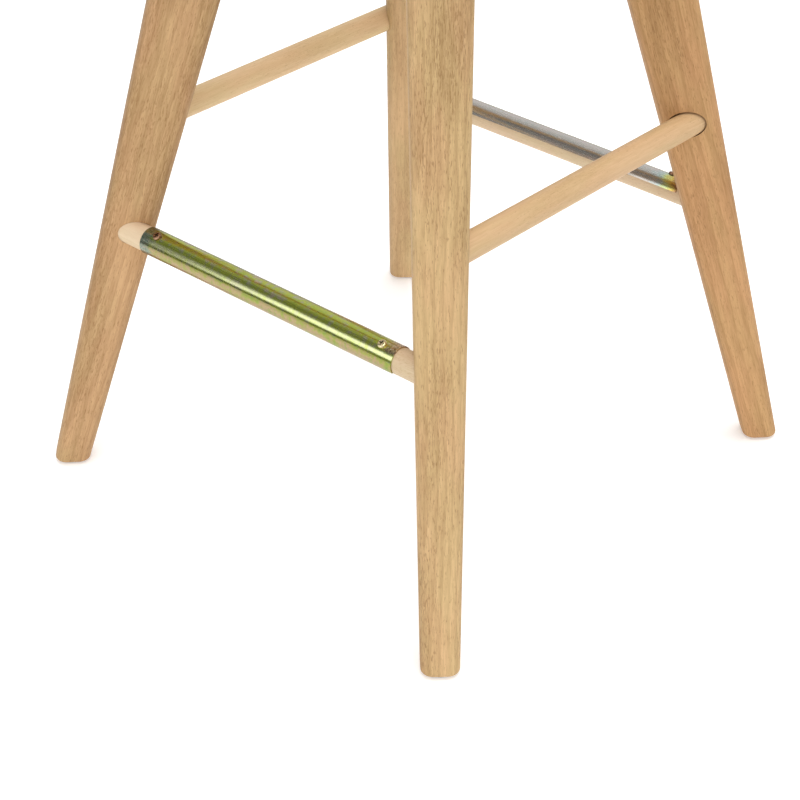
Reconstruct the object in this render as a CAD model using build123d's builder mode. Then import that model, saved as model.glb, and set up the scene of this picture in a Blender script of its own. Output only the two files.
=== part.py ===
from build123d import *
from math import atan2, cos, degrees, hypot, radians, sin
import os

# A four-legged wooden bar stool. Two turned rungs carry half-round metal covers and serve as
# footrests, two more rungs tie the other pairs of legs higher up, and a crossed pair of rails
# carries the round seat. Millimetres, +Z up, floor at z = 0, origin under the seat's centre.
# "left" is -X, "front" is -Y. Nothing on the stool moves, so its joints are glued or screwed.

# ---- legs: straight, leaning inwards, growing from the foot to the top --------------------------
foot_x = 236.3              # leg axis at the floor, from the middle
foot_y = 230.9
lean_x = 0.206              # how far the axis comes inwards for each mm of height
lean_y = 0.196
foot_half_radial = 16.25    # half widths of the section at the floor, and their growth per mm
grow_radial = 0.030
foot_half_tangent = 16.5
grow_tangent = 0.016
corner_at_foot = 10.9       # corner radius of the section at the floor, and its growth per mm
grow_corner = 0.002
foot_fillet = 3.0
leg_top = 713.0

# ---- rungs --------------------------------------------------------------------------------------
rung_radius = 11.5
rung_chamfer = 1.0
footrest_height = 246.8     # two lower rungs along Y, each side
footrest_outset = 9.0       # how far they lie outside the leg axes
upper_height = 340.3        # two upper rungs along X, front and back
upper_outset = 11.0
tenon_past_axis = 2.0       # a rung ends this far past the leg's axis
footrest_socket_gap = 0.2   # radial glue gap around a tenon
upper_socket_gap = 1.1      # these sockets are drilled a little wide, and their rungs sit low in them
upper_socket_up = 0.7       # how far a socket's middle lies above the rung's, and outside it
upper_socket_out = 0.6

# ---- footrest covers, bent steel sheet ----------------------------------------------------------
cover_thickness = 1.0
cover_fit = 0.05            # radial gap between rung and cover
cover_length = 294.0
cover_crown = 62.0          # middle of the wrap, degrees up from the outward side
cover_wrap = 194.0
left_cover_slip = -2.2      # the left cover sits this far along Y from the middle
cover_edge_break = 0.25

# ---- cover screws: pan heads with a cross recess -------------------------------------------------
screw_angle = 67.0          # degrees up from the outward side
screw_inset = 15.5          # from a cover's end to the screw
screw_head_radius = 4.0
screw_head_height = 2.2
screw_head_fillet = 1.5
screw_shank_radius = 1.7
screw_length = 14.0
screw_point = 3.0
screw_point_taper = 28.0    # degrees
screw_hole_gap = 0.25       # around the shank in the cover
screw_pilot_gap = 0.05      # around the shank in the wood
recess_length = 4.8
recess_width = 1.1
recess_depth = 1.5

# ---- glides under the feet ----------------------------------------------------------------------
glide_radius = 12.0
glide_thickness = 2.0
glide_chamfer = 0.4
nail_head_radius = 3.6
nail_head_height = 0.7
nail_head_depth = 1.2       # depth of the pocket that hides the nail's head
nail_radius = 1.3
nail_length = 20.0
nail_point_taper = 40.0     # degrees
nail_gap = 0.1

# ---- crossed rails under the seat ----------------------------------------------------------------
rail_height = 52.0
rail_thickness = 28.0
rail_fillet = 4.0
lap_gap = 0.1
dowel_radius = 5.0
dowel_length = 40.0
dowel_spacing = 26.0        # between the two dowels of a joint, in height
dowel_chamfer = 1.0
dowel_gap = 0.1

# ---- seat and its screws -------------------------------------------------------------------------
seat_radius = 187.0
seat_flat_radius = 171.0    # flat part of the underside
seat_thickness = 32.0
seat_under_round = 14.0     # height of the rounded lower edge
seat_top_round = 10.0
seat_dish = 8.0
seat_screw_reach = 62.0     # from the middle of the stool, along a rail
seat_screw_radius = 2.5
seat_screw_bite = 16.0      # length in the seat
seat_screw_taper = 35.0     # degrees, at the point
seat_screw_web = 26.0       # rail left above the counterbore
seat_screw_head_radius = 4.6
seat_screw_head_height = 3.2
washer_radius = 5.6
washer_hole_radius = 2.7
washer_thickness = 1.2
counterbore_radius = 6.0

rim_tolerance = 0.01        # how closely an edge's radius must match to be picked

leg_turn = degrees(atan2(lean_y, lean_x))
lean = hypot(lean_x, lean_y)
corners = {"front_left": (-1, -1), "front_right": (1, -1), "back_left": (-1, 1), "back_right": (1, 1)}
sides = {"left": -1, "right": 1}
ends = {"front": -1, "back": 1}
node_count = 0


def save(part, label):
    """Give a finished piece its name and write it as one STEP file."""
    global node_count
    part.label = label
    export_step(part, f"parts/{label}.step")
    node_count += 1


def edges_of_radius(edges, radius):
    """The circular edges that have this radius."""
    return edges.filter_by(lambda edge: abs(edge.radius - radius) < rim_tolerance)


def axis_x(height):
    return foot_x - lean_x * height


def axis_y(height):
    return foot_y - lean_y * height


def half_radial(height):
    return foot_half_radial + grow_radial * height


def half_tangent(height):
    return foot_half_tangent + grow_tangent * height


def section_plane(corner, height):
    """The horizontal plane of a leg's section, with its x direction pointing away from the middle."""
    sx, sy = corner
    outward = (sx * cos(radians(leg_turn)), sy * sin(radians(leg_turn)), 0)
    return Plane(origin=(sx * axis_x(height), sy * axis_y(height), height), x_dir=outward)


def inner_face_plane(corner, height):
    """The plane of a leg's inner face. Its normal points inwards and a little down."""
    plane = section_plane(corner, height)
    origin = plane.origin - plane.x_dir * half_radial(height)
    normal = plane.x_dir * -1 + Vector(0, 0, -(lean + grow_radial))
    return Plane(origin=origin, z_dir=normal)


# Where the rungs, rails, dowels and screws lie.
footrest_x = axis_x(footrest_height) + footrest_outset
footrest_end_y = axis_y(footrest_height) + tenon_past_axis
upper_y = axis_y(upper_height) + upper_outset
upper_end_x = axis_x(upper_height) + tenon_past_axis
rail_base = leg_top - rail_height
rail_mid = rail_base + rail_height / 2
rail_turn = degrees(atan2(axis_y(rail_mid), axis_x(rail_mid)))
dowel_heights = [rail_mid - dowel_spacing / 2, rail_mid + dowel_spacing / 2]
seat_top = leg_top + seat_thickness
socket_reach = 2 * half_radial(leg_top)     # enough to cut a socket out through the leg's side
rail_blank = 2 * seat_radius                # rail length before its ends are cut to the legs
cover_inner_radius = rung_radius + cover_fit
cover_outer_radius = cover_inner_radius + cover_thickness
cover_first = cover_crown - cover_wrap / 2
nail_straight = nail_length - nail_radius
screw_straight = screw_length - screw_point


def footrest_socket_plane(corner):
    """Bottom of the socket for a lower rung, looking out of its mouth."""
    sx, sy = corner
    return Plane(origin=(sx * footrest_x, sy * footrest_end_y, footrest_height), z_dir=(0, -sy, 0))


def upper_socket_plane(corner):
    """Bottom of the socket for an upper rung, looking out of its mouth."""
    sx, sy = corner
    middle_y = sy * (upper_y + upper_socket_out)
    return Plane(origin=(sx * upper_end_x, middle_y, upper_height + upper_socket_up), z_dir=(-sx, 0, 0))


def rail_direction(corner):
    """Direction along a rail, from the middle of the stool to a leg."""
    sx, sy = corner
    return Vector(sx * cos(radians(rail_turn)), sy * sin(radians(rail_turn)), 0)


def dowel_start(corner, height):
    """The end of a dowel in the rail, with z along the dowel, which has its middle on the leg's face."""
    face = inner_face_plane(corner, height)
    along = rail_direction(corner)
    reach = (face.origin.dot(face.z_dir) - height * face.z_dir.Z) / along.dot(face.z_dir)
    return Plane(origin=along * (reach - dowel_length / 2) + Vector(0, 0, height), z_dir=along)


# ---- legs ---------------------------------------------------------------------------------------
for corner_name, corner in corners.items():
    with BuildPart() as leg:
        for height in (glide_thickness, leg_top):
            with BuildSketch(section_plane(corner, height)):
                RectangleRounded(
                    2 * half_radial(height), 2 * half_tangent(height), corner_at_foot + grow_corner * height
                )
        loft(ruled=True)
        fillet(leg.faces().sort_by(Axis.Z)[0].edges(), foot_fillet)
        with BuildSketch(footrest_socket_plane(corner)):
            Circle(rung_radius + footrest_socket_gap)
        extrude(amount=socket_reach, mode=Mode.SUBTRACT)
        with BuildSketch(upper_socket_plane(corner)):
            Circle(rung_radius + upper_socket_gap)
        extrude(amount=socket_reach, mode=Mode.SUBTRACT)
        for height in dowel_heights:
            with BuildSketch(dowel_start(corner, height)):
                Circle(dowel_radius + dowel_gap)
            extrude(amount=dowel_length, mode=Mode.SUBTRACT)
        with BuildSketch(section_plane(corner, glide_thickness)):
            Circle(nail_radius + nail_gap)
        extrude(amount=nail_length, mode=Mode.SUBTRACT)
    save(leg.part, f"leg_{corner_name}")

# ---- glides, one nailed under each foot ----------------------------------------------------------
for corner_name, corner in corners.items():
    centre = section_plane(corner, glide_thickness).origin
    floor_plane = Plane(origin=(centre.X, centre.Y, 0))
    with BuildPart() as glide:
        with BuildSketch(floor_plane):
            Circle(glide_radius)
        extrude(amount=glide_thickness)
        chamfer(glide.edges().group_by(Axis.Z)[0], glide_chamfer)
        with BuildSketch(floor_plane):
            Circle(nail_head_radius + nail_gap)
        extrude(amount=nail_head_depth, mode=Mode.SUBTRACT)
        with BuildSketch(floor_plane):
            Circle(nail_radius + nail_gap)
        extrude(amount=glide_thickness, mode=Mode.SUBTRACT)
    save(glide.part, f"glide_{corner_name}")

with BuildPart() as glide_nails:
    for corner in corners.values():
        centre = section_plane(corner, glide_thickness).origin
        head_top = Plane(origin=(centre.X, centre.Y, nail_head_depth))
        with BuildSketch(head_top):
            Circle(nail_head_radius)
        extrude(amount=-nail_head_height)
        with BuildSketch(head_top):
            Circle(nail_radius)
        extrude(amount=nail_straight)
        with BuildSketch(head_top.offset(nail_straight)):
            Circle(nail_radius)
        extrude(amount=nail_radius, taper=nail_point_taper)
save(glide_nails.part, "glide_nails")


def cover_slip(side):
    """How far the middle of a cover lies from the middle of its rung."""
    return left_cover_slip if side < 0 else 0


def screw_plane(side, end):
    """The seat of one cover screw on the outside of a cover, with z along the screw's axis."""
    along = end * (cover_length / 2 - screw_inset) + cover_slip(side)
    up = radians(screw_angle)
    out = footrest_x + cover_outer_radius * cos(up)
    origin = (side * out, along, footrest_height + cover_outer_radius * sin(up))
    return Plane(origin=origin, x_dir=(0, 1, 0), z_dir=(side * cos(up), 0, sin(up)))


# ---- lower rungs with their covers and screws ----------------------------------------------------
for side_name, side in sides.items():
    rung_start = (side * footrest_x, -footrest_end_y, footrest_height)
    with BuildPart() as rung:
        with BuildSketch(Plane(origin=rung_start, z_dir=(0, 1, 0))):
            Circle(rung_radius)
        extrude(amount=2 * footrest_end_y)
        chamfer(rung.edges().filter_by(GeomType.CIRCLE), rung_chamfer)
        for end in ends.values():
            with BuildSketch(screw_plane(side, end)):
                Circle(screw_shank_radius + screw_pilot_gap)
            extrude(amount=-screw_length, mode=Mode.SUBTRACT)
    save(rung.part, f"footrest_rung_{side_name}")

    cover_start = (side * footrest_x, cover_slip(side) + side * cover_length / 2, footrest_height)
    with BuildPart() as cover:
        with BuildSketch(Plane(origin=cover_start, x_dir=(side, 0, 0), z_dir=(0, -side, 0))):
            with BuildLine():
                outer = CenterArc((0, 0), cover_outer_radius, cover_first, cover_wrap)
                inner = CenterArc((0, 0), cover_inner_radius, cover_first, cover_wrap)
                Line(outer @ 0, inner @ 0)
                Line(outer @ 1, inner @ 1)
            make_face()
        extrude(amount=cover_length)
        end_edges = cover.faces().filter_by(Axis.Y).edges().filter_by(GeomType.CIRCLE)
        fillet(edges_of_radius(end_edges, cover_outer_radius), cover_edge_break)
        for end in ends.values():
            with BuildSketch(screw_plane(side, end)):
                Circle(screw_shank_radius + screw_hole_gap)
            extrude(amount=-rung_radius / 2, mode=Mode.SUBTRACT)
    save(cover.part, f"footrest_cover_{side_name}")

    with BuildPart() as cover_screws:
        for end in ends.values():
            seat = screw_plane(side, end)
            with BuildSketch(seat):
                Circle(screw_head_radius)
            extrude(amount=screw_head_height)
            with BuildSketch(seat):
                Circle(screw_shank_radius)
            extrude(amount=-screw_straight)
            with BuildSketch(seat.offset(-screw_straight)):
                Circle(screw_shank_radius)
            extrude(amount=-screw_point, taper=screw_point_taper)
        head_rims = edges_of_radius(cover_screws.edges().filter_by(GeomType.CIRCLE), screw_head_radius)
        fillet(head_rims.sort_by(lambda edge: edge.center().Z)[-2:], screw_head_fillet)
        for end in ends.values():
            with BuildSketch(screw_plane(side, end).offset(screw_head_height)):
                Rectangle(recess_length, recess_width)
                Rectangle(recess_width, recess_length)
            extrude(amount=-recess_depth, mode=Mode.SUBTRACT)
    save(cover_screws.part, f"cover_screws_{side_name}")

# ---- upper rungs --------------------------------------------------------------------------------
for end_name, end in ends.items():
    with BuildPart() as rung:
        with BuildSketch(Plane(origin=(-upper_end_x, end * upper_y, upper_height), z_dir=(1, 0, 0))):
            Circle(rung_radius)
        extrude(amount=2 * upper_end_x)
        chamfer(rung.edges().filter_by(GeomType.CIRCLE), rung_chamfer)
    save(rung.part, f"upper_rung_{end_name}")

# ---- crossed rails, halved over each other in the middle ------------------------------------------
rail_corners = {"rail_lower": ("front_left", "back_right"), "rail_upper": ("front_right", "back_left")}
crossing = {"rail_lower": "rail_upper", "rail_upper": "rail_lower"}


def seat_screw_points(rail_name):
    """The two places along a rail where a screw goes up into the seat."""
    return [rail_direction(corners[name]) * seat_screw_reach for name in rail_corners[rail_name]]


for rail_name, (near, far) in rail_corners.items():
    along = rail_direction(corners[near])
    across = rail_direction(corners[rail_corners[crossing[rail_name]][0]])
    lap_base = rail_mid if rail_name == "rail_lower" else rail_base
    with BuildPart() as rail:
        with BuildSketch(Plane(origin=(0, 0, rail_base), x_dir=along)):
            Rectangle(rail_blank, rail_thickness)
        extrude(amount=rail_height)
        fillet(rail.edges().group_by(Axis.Z)[0].sort_by(SortBy.LENGTH)[-2:], rail_fillet)
        for name in (near, far):
            split(bisect_by=inner_face_plane(corners[name], rail_mid), keep=Keep.TOP)
        with BuildSketch(Plane(origin=(0, 0, lap_base), x_dir=across)):
            Rectangle(rail_blank, rail_thickness + 2 * lap_gap)
        extrude(amount=rail_height / 2, mode=Mode.SUBTRACT)
        for name in (near, far):
            for height in dowel_heights:
                with BuildSketch(dowel_start(corners[name], height)):
                    Circle(dowel_radius + dowel_gap)
                extrude(amount=dowel_length, mode=Mode.SUBTRACT)
        for point in seat_screw_points(rail_name):
            with BuildSketch(Plane(origin=point + Vector(0, 0, rail_base))):
                Circle(seat_screw_radius + dowel_gap)
            extrude(amount=rail_height, mode=Mode.SUBTRACT)
            with BuildSketch(Plane(origin=point + Vector(0, 0, rail_base))):
                Circle(counterbore_radius)
            extrude(amount=rail_height - seat_screw_web, mode=Mode.SUBTRACT)
    save(rail.part, rail_name)

for rail_name, names in rail_corners.items():
    with BuildPart() as dowels:
        for name in names:
            for height in dowel_heights:
                with BuildSketch(dowel_start(corners[name], height)):
                    Circle(dowel_radius)
                extrude(amount=dowel_length)
        chamfer(dowels.edges().filter_by(GeomType.CIRCLE), dowel_chamfer)
    save(dowels.part, f"{rail_name}_dowels")

# ---- seat: a round wooden board, gently dished on top ---------------------------------------------
all_screw_points = [point for rail_name in rail_corners for point in seat_screw_points(rail_name)]
rim_low = leg_top + seat_under_round
rim_high = seat_top - seat_top_round
dish_rim = (seat_radius - seat_top_round, seat_top)
dish_middle = (0, seat_top - seat_dish)
with BuildPart() as seat_board:
    with BuildSketch(Plane.XZ):
        with BuildLine():
            Polyline(dish_middle, (0, leg_top), (seat_flat_radius, leg_top))
            Spline((seat_flat_radius, leg_top), (seat_radius, rim_low), tangents=((1, 0), (0, 1)))
            Line((seat_radius, rim_low), (seat_radius, rim_high))
            RadiusArc((seat_radius, rim_high), dish_rim, -seat_top_round)
            Spline(dish_rim, dish_middle, tangents=((-1, 0), (-1, 0)))
        make_face()
    revolve(axis=Axis.Z)
    for point in all_screw_points:
        with BuildSketch(Plane(origin=point + Vector(0, 0, leg_top))):
            Circle(seat_screw_radius + screw_pilot_gap)
        extrude(amount=seat_screw_bite, mode=Mode.SUBTRACT)
save(seat_board.part, "seat")

# ---- seat screws and washers, up through the rails ------------------------------------------------
washer_top = leg_top - seat_screw_web
seat_screw_straight = washer_thickness + seat_screw_web + seat_screw_bite - seat_screw_radius
with BuildPart() as seat_screws:
    for point in all_screw_points:
        under_head = Plane(origin=point + Vector(0, 0, washer_top - washer_thickness))
        with BuildSketch(under_head):
            Circle(seat_screw_head_radius)
        extrude(amount=-seat_screw_head_height)
        with BuildSketch(under_head):
            Circle(seat_screw_radius)
        extrude(amount=seat_screw_straight)
        with BuildSketch(under_head.offset(seat_screw_straight)):
            Circle(seat_screw_radius)
        extrude(amount=seat_screw_radius, taper=seat_screw_taper)
        with BuildSketch(under_head.offset(-seat_screw_head_height)):
            Rectangle(recess_length, recess_width)
            Rectangle(recess_width, recess_length)
        extrude(amount=recess_depth, mode=Mode.SUBTRACT)
save(seat_screws.part, "seat_screws")

with BuildPart() as seat_washers:
    for point in all_screw_points:
        with BuildSketch(Plane(origin=point + Vector(0, 0, washer_top))):
            Circle(washer_radius)
            Circle(washer_hole_radius, mode=Mode.SUBTRACT)
        extrude(amount=-washer_thickness)
save(seat_washers.part, "seat_washers")

print(f"{node_count} nodes, rail turn {rail_turn:.2f}, leg turn {leg_turn:.2f}")
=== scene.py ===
from math import cos, pi, radians, sin, tau

import bpy
from mathutils import Matrix, Vector


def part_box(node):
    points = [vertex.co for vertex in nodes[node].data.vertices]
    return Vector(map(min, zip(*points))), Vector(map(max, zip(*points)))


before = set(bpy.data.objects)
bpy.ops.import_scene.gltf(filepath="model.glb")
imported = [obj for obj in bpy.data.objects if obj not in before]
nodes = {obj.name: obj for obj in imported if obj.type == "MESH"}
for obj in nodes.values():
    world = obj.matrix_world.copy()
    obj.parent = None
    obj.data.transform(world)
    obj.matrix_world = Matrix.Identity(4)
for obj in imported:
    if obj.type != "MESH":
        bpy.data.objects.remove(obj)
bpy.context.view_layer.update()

MM = 0.001

# The four corners of the stool as (x, y) signs; "left" is -X and "front" is -Y, as in the CAD names.
CORNERS = {"front_left": (-1, -1), "front_right": (1, -1), "back_left": (-1, 1), "back_right": (1, 1)}
SIDES = {"left": -1, "right": 1}
ENDS = {"front": -1, "back": 1}


# ---- places worked out from the frame ------------------------------------------------------------

def middle(node):
    """The middle of a CAD node's box."""
    low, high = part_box(node)
    return (low + high) / 2


def leg_axis(corner_name):
    """(foot, direction) of a leg's axis. The glide marks its foot, and the rail's dowels its top."""
    sx, sy = CORNERS[corner_name]
    foot = middle(f"glide_{corner_name}")
    rail_name = "rail_lower" if sx == sy else "rail_upper"
    rail_low, rail_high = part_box(rail_name)
    dowel_low, dowel_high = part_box(f"{rail_name}_dowels")
    reach_x = sx * (dowel_high.x - dowel_low.x) / 2
    reach_y = sy * (dowel_high.y - dowel_low.y) / 2
    top = Vector((reach_x, reach_y, (rail_low.z + rail_high.z) / 2))
    return foot, (top - foot).normalized()


def grain_frame(origin, along, towards):
    """(origin, turn) of a frame whose z runs along the grain, with x as near as possible to towards."""
    z = along.normalized()
    y = z.cross(towards).normalized()
    x = y.cross(z)
    turn = Matrix((x, y, z)).transposed()
    return origin, turn


# ---- a short way to write node graphs --------------------------------------------------------------

class Graph:
    """One material's node tree, with a short call for each kind of node used here."""

    def __init__(self, name):
        self.material = bpy.data.materials.new(name)
        self.material.use_nodes = True
        self.tree = self.material.node_tree
        self.tree.nodes.clear()
        self.shader = self.node("ShaderNodeBsdfPrincipled")
        output = self.node("ShaderNodeOutputMaterial")
        self.link(self.shader.outputs["BSDF"], output.inputs["Surface"])

    def node(self, kind, **settings):
        made = self.tree.nodes.new(kind)
        for key, value in settings.items():
            setattr(made, key, value)
        return made

    def link(self, source, target):
        self.tree.links.new(source, target)

    def put(self, socket, value):
        """Links value to socket if it is an output, and otherwise sets it as the socket's own value."""
        if isinstance(value, bpy.types.NodeSocket):
            self.link(value, socket)
        else:
            socket.default_value = value

    def math(self, operation, a, b=0.0, clamp=False):
        made = self.node("ShaderNodeMath", operation=operation, use_clamp=clamp)
        self.put(made.inputs[0], a)
        self.put(made.inputs[1], b)
        return made.outputs[0]

    def vector(self, operation, a, b=(0.0, 0.0, 0.0)):
        made = self.node("ShaderNodeVectorMath", operation=operation)
        self.put(made.inputs[0], a)
        self.put(made.inputs[1], b)
        return made.outputs["Vector"]

    def length(self, a):
        made = self.node("ShaderNodeVectorMath", operation="LENGTH")
        self.put(made.inputs[0], a)
        return made.outputs["Value"]

    def split(self, a):
        made = self.node("ShaderNodeSeparateXYZ")
        self.link(a, made.inputs[0])
        return made.outputs

    def join(self, x, y, z):
        made = self.node("ShaderNodeCombineXYZ")
        for socket, value in zip(made.inputs, (x, y, z)):
            self.put(socket, value)
        return made.outputs[0]

    def noise(self, coords, scale=(1.0, 1.0, 1.0), detail=2.0, roughness=0.5, distortion=0.0):
        """Noise of about 0 to 1, with features about 1/scale long."""
        made = self.node("ShaderNodeTexNoise")
        self.link(self.vector("MULTIPLY", coords, scale), made.inputs["Vector"])
        made.inputs["Scale"].default_value = 1.0
        made.inputs["Detail"].default_value = detail
        made.inputs["Roughness"].default_value = roughness
        made.inputs["Distortion"].default_value = distortion
        return made.outputs["Fac"], made.outputs["Color"]

    def span(self, value, low, high, out_low=0.0, out_high=1.0, smooth=True):
        """value mapped from low..high to out_low..out_high and held at the ends."""
        kind = "SMOOTHSTEP" if smooth else "LINEAR"
        made = self.node("ShaderNodeMapRange", interpolation_type=kind)
        for key, number in (("From Min", low), ("From Max", high), ("To Min", out_low), ("To Max", out_high)):
            made.inputs[key].default_value = number
        self.link(value, made.inputs["Value"])
        return made.outputs["Result"]

    def ramp(self, value, stops):
        """A colour ramp with stops of (place, colour)."""
        made = self.node("ShaderNodeValToRGB")
        elements = made.color_ramp.elements
        while len(elements) < len(stops):
            elements.new(1.0)
        for element, (place, colour) in zip(elements, stops):
            element.position = place
            element.color = (*colour, 1.0)
        self.link(value, made.inputs[0])
        return made.outputs[0]

    def mix(self, factor, a, b, blend="MIX"):
        made = self.node("ShaderNodeMix", data_type="RGBA", blend_type=blend)
        self.put(made.inputs[0], factor)
        for socket, value in ((made.inputs[6], a), (made.inputs[7], b)):
            self.put(socket, value if isinstance(value, bpy.types.NodeSocket) else (*value, 1.0))
        return made.outputs[2]

    def bump(self, height, distance, strength=1.0):
        made = self.node("ShaderNodeBump")
        made.inputs["Strength"].default_value = strength
        made.inputs["Distance"].default_value = distance
        self.link(height, made.inputs["Height"])
        self.link(made.outputs["Normal"], self.shader.inputs["Normal"])

    def object_coords(self, place=None):
        """Object coordinates in millimetres, in the grain frame where one is given."""
        source = self.node("ShaderNodeTexCoord").outputs["Object"]
        mapping = self.node("ShaderNodeMapping", vector_type="TEXTURE")
        origin, turn = place or (Vector(), Matrix.Identity(3))
        mapping.inputs["Location"].default_value = origin
        mapping.inputs["Rotation"].default_value = turn.to_euler("XYZ")
        mapping.inputs["Scale"].default_value = (MM, MM, MM)
        self.link(source, mapping.inputs["Vector"])
        return mapping.outputs[0]


# ---- wood ----------------------------------------------------------------------------------------

# Colours are linear. A size is in cycles per mm across, across and along the grain.
OPEN_PORED = {
    "light": (0.62, 0.408, 0.213), "dark": (0.40, 0.240, 0.112), "pore": (0.25, 0.128, 0.052),
    "pink": (1.02, 0.985, 0.97), "olive": (0.98, 1.002, 0.95), "ring_spacing": 7.0, "ring_depth": 0.32,
    "fleck_size": (1.25, 1.25, 0.17), "fleck_cut": (0.56, 0.645), "fleck_depth": 0.52,
    "vessel_size": (0.95, 0.95, 0.060), "vessel_cut": (0.60, 0.70), "vessel_depth": 0.30,
    "roughness": 0.58, "relief": 0.09, "fibre_depth": 0.62,
}
CALM_GRAIN = {
    **OPEN_PORED, "ring_depth": 0.22, "fibre_depth": 0.38, "fleck_depth": 0.30, "vessel_depth": 0.18,
}
BEECH = {
    "light": (0.70, 0.475, 0.275), "dark": (0.60, 0.385, 0.205), "pore": (0.40, 0.225, 0.105),
    "pink": (1.02, 0.985, 0.97), "olive": (0.985, 1.002, 0.95), "ring_spacing": 4.4, "ring_depth": 0.18,
    "fleck_size": (1.5, 1.5, 0.30), "fleck_cut": (0.60, 0.68), "fleck_depth": 0.32,
    "vessel_size": (1.6, 1.6, 0.05), "vessel_cut": (0.62, 0.75), "vessel_depth": 0.14,
    "roughness": 0.43, "relief": 0.03, "fibre_depth": 0.62,
}


def wood_surface(graph, coords, look, pith, seed, tint):
    """Lacquered wood with growth rings about a far pith, fibres, open pores and slow colour changes.
    coords are in mm with z along the grain."""
    own = graph.vector("ADD", coords, seed)
    sway = graph.noise(own, (0.016, 0.016, 0.0036), detail=3.0)[1]
    sway = graph.vector("MULTIPLY", graph.vector("SUBTRACT", sway, (0.5, 0.5, 0.5)), (26.0, 26.0, 0.0))
    bent = graph.vector("ADD", graph.vector("SUBTRACT", coords, pith), sway)
    from_pith = graph.length(graph.vector("MULTIPLY", bent, (1.0, 1.0, 0.0)))
    ring = graph.math("FRACT", graph.math("DIVIDE", from_pith, look["ring_spacing"]))
    late = graph.math("MULTIPLY", graph.span(ring, 0.20, 0.93), graph.span(ring, 1.0, 0.95))

    fibre = graph.noise(own, (0.75, 0.75, 0.045), detail=5.0, roughness=0.7)[0]
    broad = graph.noise(own, (0.030, 0.030, 0.0050), detail=3.0)[0]
    elsewhere = graph.vector("ADD", own, (70.0, 30.0, 500.0))
    drift = graph.noise(elsewhere, (0.045, 0.045, 0.012), detail=2.0)[0]
    sparse = graph.math("MULTIPLY", late, -0.035)
    crowd = graph.math("ADD", sparse, graph.span(broad, 0.35, 0.65, -0.045, 0.045))
    flecks = graph.noise(own, look["fleck_size"], detail=2.0, roughness=0.55)[0]
    fleck = graph.span(graph.math("ADD", flecks, crowd), *look["fleck_cut"])
    vessels = graph.noise(own, look["vessel_size"], detail=3.0, roughness=0.6)[0]
    vessel = graph.span(graph.math("ADD", vessels, crowd), *look["vessel_cut"])

    tone = graph.math("MULTIPLY", late, look["ring_depth"])
    swing = 0.65 * look["fibre_depth"]
    tone = graph.math("ADD", tone, graph.span(fibre, 0.3, 0.7, 0.22 - swing, 0.22 + swing, smooth=False))
    tone = graph.math("ADD", tone, graph.span(broad, 0.3, 0.7, -0.20, 0.42, smooth=False), clamp=True)
    colour = graph.mix(tone, look["light"], look["dark"])
    hue = graph.mix(graph.span(drift, 0.35, 0.65), look["pink"], look["olive"])
    colour = graph.mix(1.0, colour, hue, "MULTIPLY")
    # tint carries a piece's own tone. On some legs and rungs it also carries painted light and shade.
    colour = graph.mix(1.0, colour, tint, "MULTIPLY")
    pore = graph.math("MAXIMUM", graph.math("MULTIPLY", fleck, look["fleck_depth"]),
                      graph.math("MULTIPLY", vessel, look["vessel_depth"]))
    colour = graph.mix(pore, colour, look["pore"])
    graph.link(colour, graph.shader.inputs["Base Color"])

    rough = graph.math("ADD", graph.span(fibre, 0.3, 0.7, -0.05, 0.06), look["roughness"])
    graph.link(graph.math("ADD", rough, graph.math("MULTIPLY", pore, 0.3)), graph.shader.inputs["Roughness"])
    height = graph.math("SUBTRACT", graph.math("MULTIPLY", fibre, 0.35), graph.math("MULTIPLY", pore, 1.6))
    graph.bump(height, look["relief"] * MM, strength=0.6)
    graph.shader.inputs["IOR"].default_value = 1.48
    graph.shader.inputs["Specular IOR Level"].default_value = 0.2


def wood_material(name, place, look, pith, seed, tint=(1.0, 1.0, 1.0)):
    graph = Graph(name)
    wood_surface(graph, graph.object_coords(place), look, pith, seed, tint)
    return graph.material


def stave_material(name, place, look, pith, stave_width):
    """Edge-glued boards side by side along x: each has its own grain and tint, with a fine glue line."""
    graph = Graph(name)
    coords = graph.object_coords(place)
    across = graph.math("DIVIDE", graph.split(coords)[0], stave_width)
    random = graph.node("ShaderNodeTexWhiteNoise", noise_dimensions="1D")
    graph.link(graph.math("FLOOR", across), random.inputs["W"])
    shift = graph.vector("MULTIPLY", random.outputs["Color"], (90.0, 60.0, 900.0))
    tint = graph.mix(random.outputs["Value"], (0.86, 0.82, 0.77), (1.03, 1.02, 1.00))
    edge = graph.math("ABSOLUTE", graph.math("SUBTRACT", graph.math("FRACT", across), 0.5))
    line = graph.span(edge, 0.5 - 0.25 / stave_width, 0.5)
    tint = graph.mix(graph.math("MULTIPLY", line, 0.6), tint, (0.45, 0.36, 0.28))
    wood_surface(graph, graph.vector("ADD", coords, shift), look, pith, (0.0, 0.0, 0.0), tint)
    return graph.material


# ---- metal and plastic -----------------------------------------------------------------------------

WEAR_AND_HIGHLIGHT_ANGLE = 33.0      # where shoes rub a cover and where the painted highlight falls, in degrees up from its outward side


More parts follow.
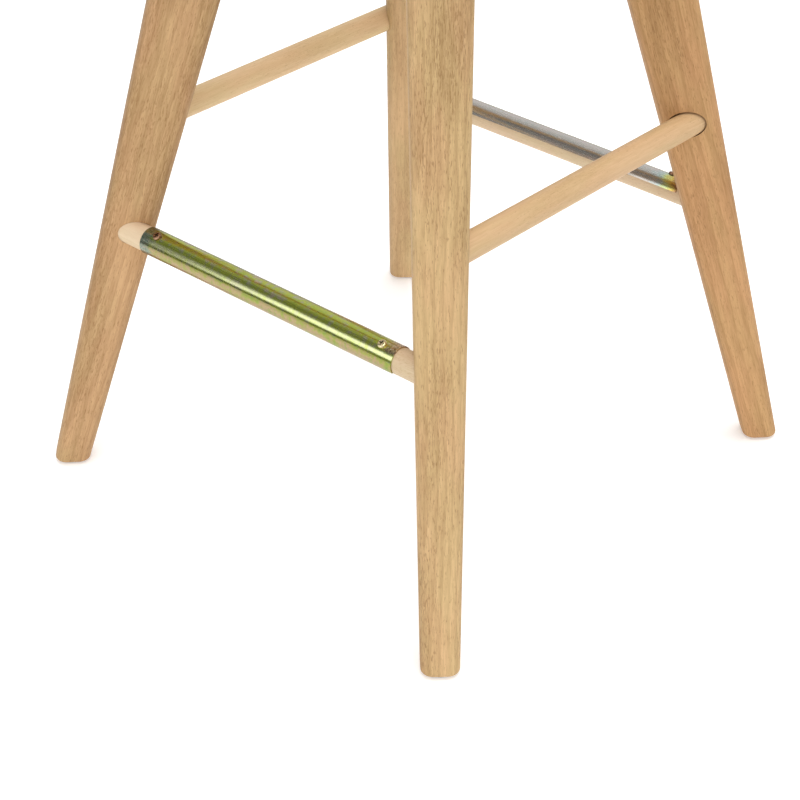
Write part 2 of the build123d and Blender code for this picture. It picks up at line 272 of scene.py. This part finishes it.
def yellow_zinc_material(name, side, rung_middle, half_length, pale_from):
    """Zinc plate with a yellow passivated film, whose thickness drifts along and around the cover. The
    film is thin and grey on the inner side, from the angle pale_from up from the outward side. Where shoes
    rub it, a paler band is partly wear and partly painted highlight, paling the film where the highlight
    falls. At the front end the upper side takes a brown mottle, partly darker film and partly a painted
    reflection of the leg beside it. half_length is in mm and pale_from in degrees."""
    graph = Graph(name)
    coords = graph.object_coords((rung_middle, Matrix.Identity(3)))
    x, y, z = graph.split(coords)[:]
    wrap = graph.math("ARCTAN2", z, graph.math("MULTIPLY", x, float(side)))
    around = graph.join(graph.math("MULTIPLY", wrap, 12.0), y, float(side) * 40.0)

    patch = graph.noise(around, (0.11, 0.045, 1.0), detail=4.0, roughness=0.62)[0]
    streak = graph.noise(around, (0.10, 0.24, 1.0), detail=3.0, roughness=0.6)[0]
    film = graph.math("ADD", graph.math("MULTIPLY", patch, 0.6), graph.math("MULTIPLY", streak, 0.4))
    film = graph.span(film, 0.38, 0.62, smooth=False)
    upper = graph.ramp(film, (
        (0.0, (0.42, 0.42, 0.28)), (0.30, (0.38, 0.47, 0.060)), (0.55, (0.45, 0.50, 0.065)),
        (0.75, (0.38, 0.43, 0.15)), (1.0, (0.49, 0.44, 0.28)),
    ))
    lower = graph.ramp(film, (
        (0.0, (0.23, 0.32, 0.050)), (0.28, (0.30, 0.325, 0.072)), (0.50, (0.36, 0.31, 0.115)),
        (0.72, (0.41, 0.295, 0.165)), (1.0, (0.28, 0.31, 0.080)),
    ))
    thin = graph.ramp(film, (
        (0.0, (0.46, 0.465, 0.43)), (0.5, (0.50, 0.475, 0.43)), (1.0, (0.51, 0.455, 0.42)),
    ))
    tinted = graph.mix(graph.span(wrap, radians(22.0), radians(8.0)), upper, lower)
    # Paler band near the rubbed angle: partly wear where shoes rub, and partly a painted highlight that pales
    # the film where the highlight falls.
    from_wear_and_highlight = graph.math("ABSOLUTE", graph.math("SUBTRACT", wrap, radians(WEAR_AND_HIGHLIGHT_ANGLE)))
    wear_and_highlight_band = graph.span(from_wear_and_highlight, radians(14.0), radians(6.0))
    wear_and_painted_highlight = graph.math("MULTIPLY", wear_and_highlight_band, graph.span(streak, 0.3, 0.55, 0.4, 0.8))
    tinted = graph.mix(wear_and_painted_highlight, tinted, (0.50, 0.52, 0.30))

    to_end = graph.math("SUBTRACT", half_length, graph.math("ABSOLUTE", y))
    from_end = graph.math("DIVIDE", graph.math("ADD", to_end, graph.span(patch, 0.3, 0.7, -6.0, 6.0)), 34.0)
    end_thin = graph.ramp(from_end, (
        (0.0, (0.22, 0.11, 0.05)), (0.10, (0.36, 0.19, 0.09)), (0.24, (0.60, 0.44, 0.10)),
        (0.45, (0.52, 0.58, 0.22)), (0.70, (0.42, 0.50, 0.47)), (1.0, (0.48, 0.48, 0.47)),
    ))
    thin = graph.mix(graph.span(from_end, 1.0, 0.75), thin, end_thin)
    specks = graph.noise(around, (0.55, 0.55, 1.0), detail=2.0, roughness=0.6)[0]
    # Front-end mottle: partly darker film at the end and partly a painted reflection of the leg beside it. It
    # is laid on the upper side only.
    front_end_film_and_painted_reflection = graph.ramp(specks, (
        (0.38, (0.20, 0.11, 0.06)), (0.47, (0.42, 0.27, 0.17)),
        (0.55, (0.58, 0.42, 0.22)), (0.66, (0.62, 0.47, 0.38)),
    ))
    back_end = graph.ramp(specks, (
        (0.38, (0.10, 0.15, 0.12)), (0.50, (0.21, 0.29, 0.25)), (0.64, (0.36, 0.30, 0.24)),
    ))
    at_back = graph.span(y, -1.0, 1.0)
    end_tinted = graph.mix(at_back, front_end_film_and_painted_reflection, back_end)
    reach = graph.math("MAXIMUM", at_back, graph.span(wrap, radians(42.0), radians(54.0)))
    near_end = graph.math("MULTIPLY", graph.span(from_end, 0.50, 0.20, 0.0, 0.85), reach)
    tinted = graph.mix(near_end, tinted, end_tinted)
    inward = graph.span(wrap, radians(pale_from), radians(pale_from + 22.0))
    graph.link(graph.mix(inward, tinted, thin), graph.shader.inputs["Base Color"])

    scuff = graph.noise(coords, (3.0, 0.09, 3.0), detail=3.0, roughness=0.7)[0]
    graph.link(graph.span(scuff, 0.35, 0.75, 0.19, 0.31), graph.shader.inputs["Roughness"])
    graph.shader.inputs["Metallic"].default_value = 1.0
    graph.shader.inputs["Specular Tint"].default_value = (0.95, 0.88, 0.93, 1.0)
    graph.shader.inputs["Coat Weight"].default_value = 0.3
    graph.shader.inputs["Coat Roughness"].default_value = 0.14
    ripple = graph.noise(around, (0.14, 0.03, 1.0), detail=3.0)[0]
    graph.bump(graph.math("ADD", ripple, graph.math("MULTIPLY", scuff, 0.05)), 0.10 * MM, strength=0.5)
    return graph.material


def plated_material(name, colours, roughness, tarnish_from=None):
    """A small plated steel fastener, mottled between two colours, with painted shade darkening its recess.
    The fasteners that lie further along Y than tarnish_from, in mm, are tarnished brown."""
    graph = Graph(name)
    coords = graph.object_coords()
    patch = graph.noise(coords, (0.8, 0.8, 0.8), detail=3.0)[0]
    # Painted shade: an ambient-occlusion mask darkens the recess toward near black.
    pit = graph.node("ShaderNodeAmbientOcclusion", samples=8, only_local=True)
    pit.inputs["Distance"].default_value = 1.4 * MM
    painted_recess_shade = graph.span(pit.outputs["AO"], 0.75, 0.45)
    colour = graph.mix(graph.span(patch, 0.35, 0.65), *colours)
    if tarnish_from is not None:
        brown = graph.mix(graph.span(patch, 0.4, 0.6), (0.40, 0.24, 0.15), (0.22, 0.12, 0.07))
        tarnished = graph.span(graph.split(coords)[1], tarnish_from, tarnish_from + 1.0)
        colour = graph.mix(tarnished, colour, brown)
    graph.link(graph.mix(painted_recess_shade, colour, (0.035, 0.028, 0.020)), graph.shader.inputs["Base Color"])
    grit = graph.noise(coords, (9.0, 9.0, 9.0), detail=2.0)[0]
    graph.link(graph.span(grit, 0.3, 0.7, roughness, roughness + 0.12), graph.shader.inputs["Roughness"])
    graph.shader.inputs["Metallic"].default_value = 1.0
    graph.bump(grit, 0.02 * MM, strength=0.5)
    return graph.material


def nylon_material(name):
    """Dark grey moulded nylon, scuffed where it stands on the floor."""
    graph = Graph(name)
    coords = graph.object_coords()
    grit = graph.noise(coords, (4.0, 4.0, 4.0), detail=3.0)[0]
    low_down = graph.span(graph.split(coords)[2], 0.8, 0.0)
    scuff = graph.math("MULTIPLY", low_down, graph.span(grit, 0.4, 0.65))
    graph.link(graph.mix(scuff, (0.13, 0.115, 0.10), (0.26, 0.24, 0.215)), graph.shader.inputs["Base Color"])
    graph.link(graph.span(grit, 0.3, 0.7, 0.42, 0.62), graph.shader.inputs["Roughness"])
    graph.bump(grit, 0.05 * MM, strength=0.4)
    return graph.material


def dress(node_name, material):
    """Gives a CAD node its material in every slot that it has."""
    slots = nodes[node_name].material_slots
    for slot in slots:
        slot.material = material


def dress_legs():
    piths = {"front_left": (34.0, -30.0, 0.0), "front_right": (-46.0, 30.0, 0.0),
             "back_left": (30.0, 44.0, 0.0), "back_right": (-34.0, -40.0, 0.0)}
    # Per-leg tints: partly each leg's own tone, and partly painted light and shade that brighten or darken a
    # whole leg by how the light falls on it.
    leg_tones_and_painted_light = {"front_left": (1.09, 1.14, 1.15), "front_right": (0.95, 0.85, 0.77),
             "back_left": (0.92, 0.90, 0.90), "back_right": (1.05, 1.12, 1.16)}
    for number, (corner_name, (sx, sy)) in enumerate(CORNERS.items()):
        foot, along = leg_axis(corner_name)
        place = grain_frame(foot, along, Vector((sx, sy, 0.0)))
        seed = (130.0 * number, 70.0 * number, 900.0 * number)
        look = CALM_GRAIN if corner_name == "back_right" else OPEN_PORED
        name = f"leg_wood_{corner_name}"
        wood = wood_material(name, place, look, piths[corner_name], seed, leg_tones_and_painted_light[corner_name])
        dress(f"leg_{corner_name}", wood)


def dress_rungs():
    for side_name, side in SIDES.items():
        node_name = f"footrest_rung_{side_name}"
        place = grain_frame(middle(node_name), Vector((0.0, 1.0, 0.0)), Vector((side, 0.0, 1.0)))
        seed = (0.0, 50.0, 300.0 * side)
        pith = (24.0 * side, 9.0, 0.0)
        # Footrest rung tint: partly beech paler than the legs, and partly painted light that brightens both
        # rungs.
        tint = (1.02, 1.19, 1.44)
        dress(node_name, wood_material(f"rung_wood_{side_name}", place, BEECH, pith, seed, tint))
    for end_name, end in ENDS.items():
        node_name = f"upper_rung_{end_name}"
        place = grain_frame(middle(node_name), Vector((1.0, 0.0, 0.0)), Vector((0.0, end, 1.0)))
        seed = (90.0, 0.0, 700.0 * end)
        pith = (14.0, 26.0 * end, 0.0)
        # The back rung's brighter tint is painted light, lifting it out of the shade under the seat. The
        # front's tint is close to the wood's own tone.
        tint = (1.0, 1.035, 1.04) if end < 0 else (1.13, 1.25, 1.30)
        dress(node_name, wood_material(f"rung_wood_{end_name}", place, BEECH, pith, seed, tint))


def dress_covers():
    for side_name, side in SIDES.items():
        cover = f"footrest_cover_{side_name}"
        low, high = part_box(cover)
        axis = middle(f"footrest_rung_{side_name}")
        axis.y = (low.y + high.y) / 2
        half_length = (high.y - low.y) / 2 / MM
        pale_from = 108.0 if side < 0 else 62.0
        dress(cover, yellow_zinc_material(f"yellow_zinc_{side_name}", side, axis, half_length, pale_from))
        screws = plated_material(f"yellow_screw_{side_name}", ((0.82, 0.73, 0.46), (0.68, 0.57, 0.33)), 0.24,
                                 tarnish_from=0.0 if side < 0 else low.y / MM)
        dress(f"cover_screws_{side_name}", screws)


def dress_seat():
    upright = grain_frame(middle("seat"), Vector((0.0, 1.0, 0.0)), Vector((1.0, 0.0, 0.0)))
    dress("seat", stave_material("seat_wood", upright, OPEN_PORED, (12.0, -55.0, 0.0), 68.0))
    for rail_name, turn in (("rail_lower", 1.0), ("rail_upper", -1.0)):
        low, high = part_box(rail_name)
        along = Vector((high.x - low.x, turn * (high.y - low.y), 0.0))
        place = grain_frame(middle(rail_name), along, Vector((0.0, 0.0, 1.0)))
        seed = (40.0, 200.0 * turn, 0.0)
        pith = (50.0, 24.0 * turn, 0.0)
        dress(rail_name, wood_material(f"{rail_name}_wood", place, OPEN_PORED, pith, seed))
        beech = wood_material(f"{rail_name}_dowel_wood", place, BEECH, (20.0, 10.0, 0.0), seed)
        dress(f"{rail_name}_dowels", beech)


def dress_small_parts():
    nylon = nylon_material("glide_nylon")
    for corner_name in CORNERS:
        dress(f"glide_{corner_name}", nylon)
    steel = plated_material("bright_zinc", ((0.62, 0.63, 0.64), (0.50, 0.51, 0.53)), 0.25)
    for node_name in ("glide_nails", "seat_screws", "seat_washers"):
        dress(node_name, steel)


# ---- camera, light and floor ------------------------------------------------------------------------

CAMERA_AZIMUTH = -49.813        # degrees, then metres and millimetres
CAMERA_ELEVATION = 33.518
CAMERA_ROLL = 1.064
CAMERA_DISTANCE = 1.9635
CAMERA_TARGET = (0.0291, 0.0408)    # aside and up from the origin
CAMERA_LENS = 92.97


def make_camera():
    azimuth, elevation, roll = radians(CAMERA_AZIMUTH), radians(CAMERA_ELEVATION), radians(CAMERA_ROLL)
    back = Vector((sin(azimuth) * cos(elevation), -cos(azimuth) * cos(elevation), sin(elevation)))
    level = Vector((cos(azimuth), sin(azimuth), 0.0))
    aside, height = CAMERA_TARGET
    target = level * aside + Vector((0.0, 0.0, height))
    upright = back.cross(level)
    right = level * cos(roll) + upright * sin(roll)
    up = upright * cos(roll) - level * sin(roll)
    data = bpy.data.cameras.new("camera")
    data.sensor_width = 36.0
    data.lens = CAMERA_LENS
    data.shift_x = -0.0637
    data.shift_y = 0.0099
    camera = bpy.data.objects.new("camera", data)
    turn = Matrix((right, up, back)).transposed().to_4x4()
    camera.matrix_world = Matrix.Translation(target + back * CAMERA_DISTANCE) @ turn
    bpy.context.scene.collection.objects.link(camera)
    bpy.context.scene.camera = camera


def make_softbox(name, place, aim, size, radiance):
    """A rectangular softbox of this radiance, with its middle at place, facing aim."""
    data = bpy.data.lights.new(name, "AREA")
    data.shape = "RECTANGLE"
    data.size, data.size_y = size
    data.energy = radiance * pi * size[0] * size[1]
    light = bpy.data.objects.new(name, data)
    light.location = place
    light.rotation_mode = "QUATERNION"
    light.rotation_quaternion = (Vector(place) - Vector(aim)).to_track_quat("Z", "Y")
    light.visible_camera = False
    bpy.context.scene.collection.objects.link(light)


def ramp_node(tree, source, low, high, stops):
    """A grey ramp over source between low and high, with stops of (value, grey)."""
    place = tree.nodes.new("ShaderNodeMapRange")
    place.inputs["From Min"].default_value = low
    place.inputs["From Max"].default_value = high
    ramp = tree.nodes.new("ShaderNodeValToRGB")
    while len(ramp.color_ramp.elements) < len(stops):
        ramp.color_ramp.elements.new(1.0)
    for element, (value, grey) in zip(ramp.color_ramp.elements, stops):
        element.position = (value - low) / (high - low)
        element.color = (grey, grey, grey, 1.0)
    tree.links.new(source, place.inputs["Value"])
    tree.links.new(place.outputs["Result"], ramp.inputs[0])
    return ramp.outputs[0]


def make_world():
    """White to the camera. To everything else it is the studio: a lit white wall on the right, a dim left
    side behind the stool, and a dark gap between the floor sweep and the walls."""
    world = bpy.data.worlds.new("studio")
    bpy.context.scene.world = world
    world.use_nodes = True
    tree = world.node_tree
    tree.nodes.clear()
    output = tree.nodes.new("ShaderNodeOutputWorld")
    shown = tree.nodes.new("ShaderNodeBackground")
    shown.inputs["Color"].default_value = (1.0, 1.0, 1.0, 1.0)
    room = tree.nodes.new("ShaderNodeBackground")
    coords = tree.nodes.new("ShaderNodeTexCoord")
    split = tree.nodes.new("ShaderNodeSeparateXYZ")
    tree.links.new(coords.outputs["Generated"], split.inputs[0])
    back = ramp_node(tree, split.outputs[0], -1.0, 1.0, (
        (-0.95, 0.35), (-0.62, 0.32), (-0.42, 0.22), (-0.12, 0.42), (0.16, 0.66), (0.60, 0.92), (1.0, 0.95)))
    side = tree.nodes.new("ShaderNodeMapRange")
    side.interpolation_type = "SMOOTHSTEP"
    side.inputs["From Min"].default_value = 0.30
    side.inputs["From Max"].default_value = -0.10
    tree.links.new(split.outputs[1], side.inputs["Value"])
    wall = tree.nodes.new("ShaderNodeMix")
    wall.data_type = "RGBA"
    tree.links.new(side.outputs["Result"], wall.inputs[0])
    tree.links.new(back, wall.inputs[6])
    wall.inputs[7].default_value = (0.72, 0.72, 0.72, 1.0)
    gap = ramp_node(tree, split.outputs[2], -1.0, 1.0, ((-0.10, 0.25), (0.05, 0.32), (0.13, 1.0), (1.0, 1.0)))
    lit = tree.nodes.new("ShaderNodeMix")
    lit.data_type = "RGBA"
    lit.blend_type = "MULTIPLY"
    lit.inputs[0].default_value = 1.0
    tree.links.new(wall.outputs[2], lit.inputs[6])
    tree.links.new(gap, lit.inputs[7])
    tree.links.new(lit.outputs[2], room.inputs["Color"])
    ray = tree.nodes.new("ShaderNodeLightPath")
    mix = tree.nodes.new("ShaderNodeMixShader")
    tree.links.new(ray.outputs["Is Camera Ray"], mix.inputs[0])
    tree.links.new(room.outputs[0], mix.inputs[1])
    tree.links.new(shown.outputs[0], mix.inputs[2])
    tree.links.new(mix.outputs[0], output.inputs["Surface"])


def make_floor():
    """A round, plain white floor, wide enough to fill the view."""
    mesh = bpy.data.meshes.new("floor")
    count, reach = 96, 1.95
    rim = [(reach * cos(tau * i / count), reach * sin(tau * i / count), 0.0) for i in range(count)]
    mesh.from_pydata(rim, [], [tuple(range(count))])
    floor = bpy.data.objects.new("floor", mesh)
    bpy.context.scene.collection.objects.link(floor)
    graph = Graph("floor_white")
    graph.shader.inputs["Base Color"].default_value = (0.86, 0.86, 0.86, 1.0)
    graph.shader.inputs["Roughness"].default_value = 0.6
    graph.shader.inputs["Emission Color"].default_value = (1.0, 1.0, 1.0, 1.0)
    graph.shader.inputs["Emission Strength"].default_value = 0.32
    mesh.materials.append(graph.material)


def make_lights():
    make_world()
    make_softbox("overhead", (0.3, -0.1, 2.6), (0.0, 0.0, 0.0), (1.8, 1.8), 4.0)
    make_softbox("key", (-3.0, -3.2, 3.6), (0.0, 0.0, 0.3), (3.0, 3.0), 2.2)
    make_softbox("strip", (-0.80, 0.19, 0.54), (0.0, 0.19, 0.54), (0.78, 0.36), 2.0)
    bpy.context.scene.view_settings.view_transform = "Standard"


dress_legs()
dress_rungs()
dress_covers()
dress_seat()
dress_small_parts()
make_camera()
make_lights()
make_floor()
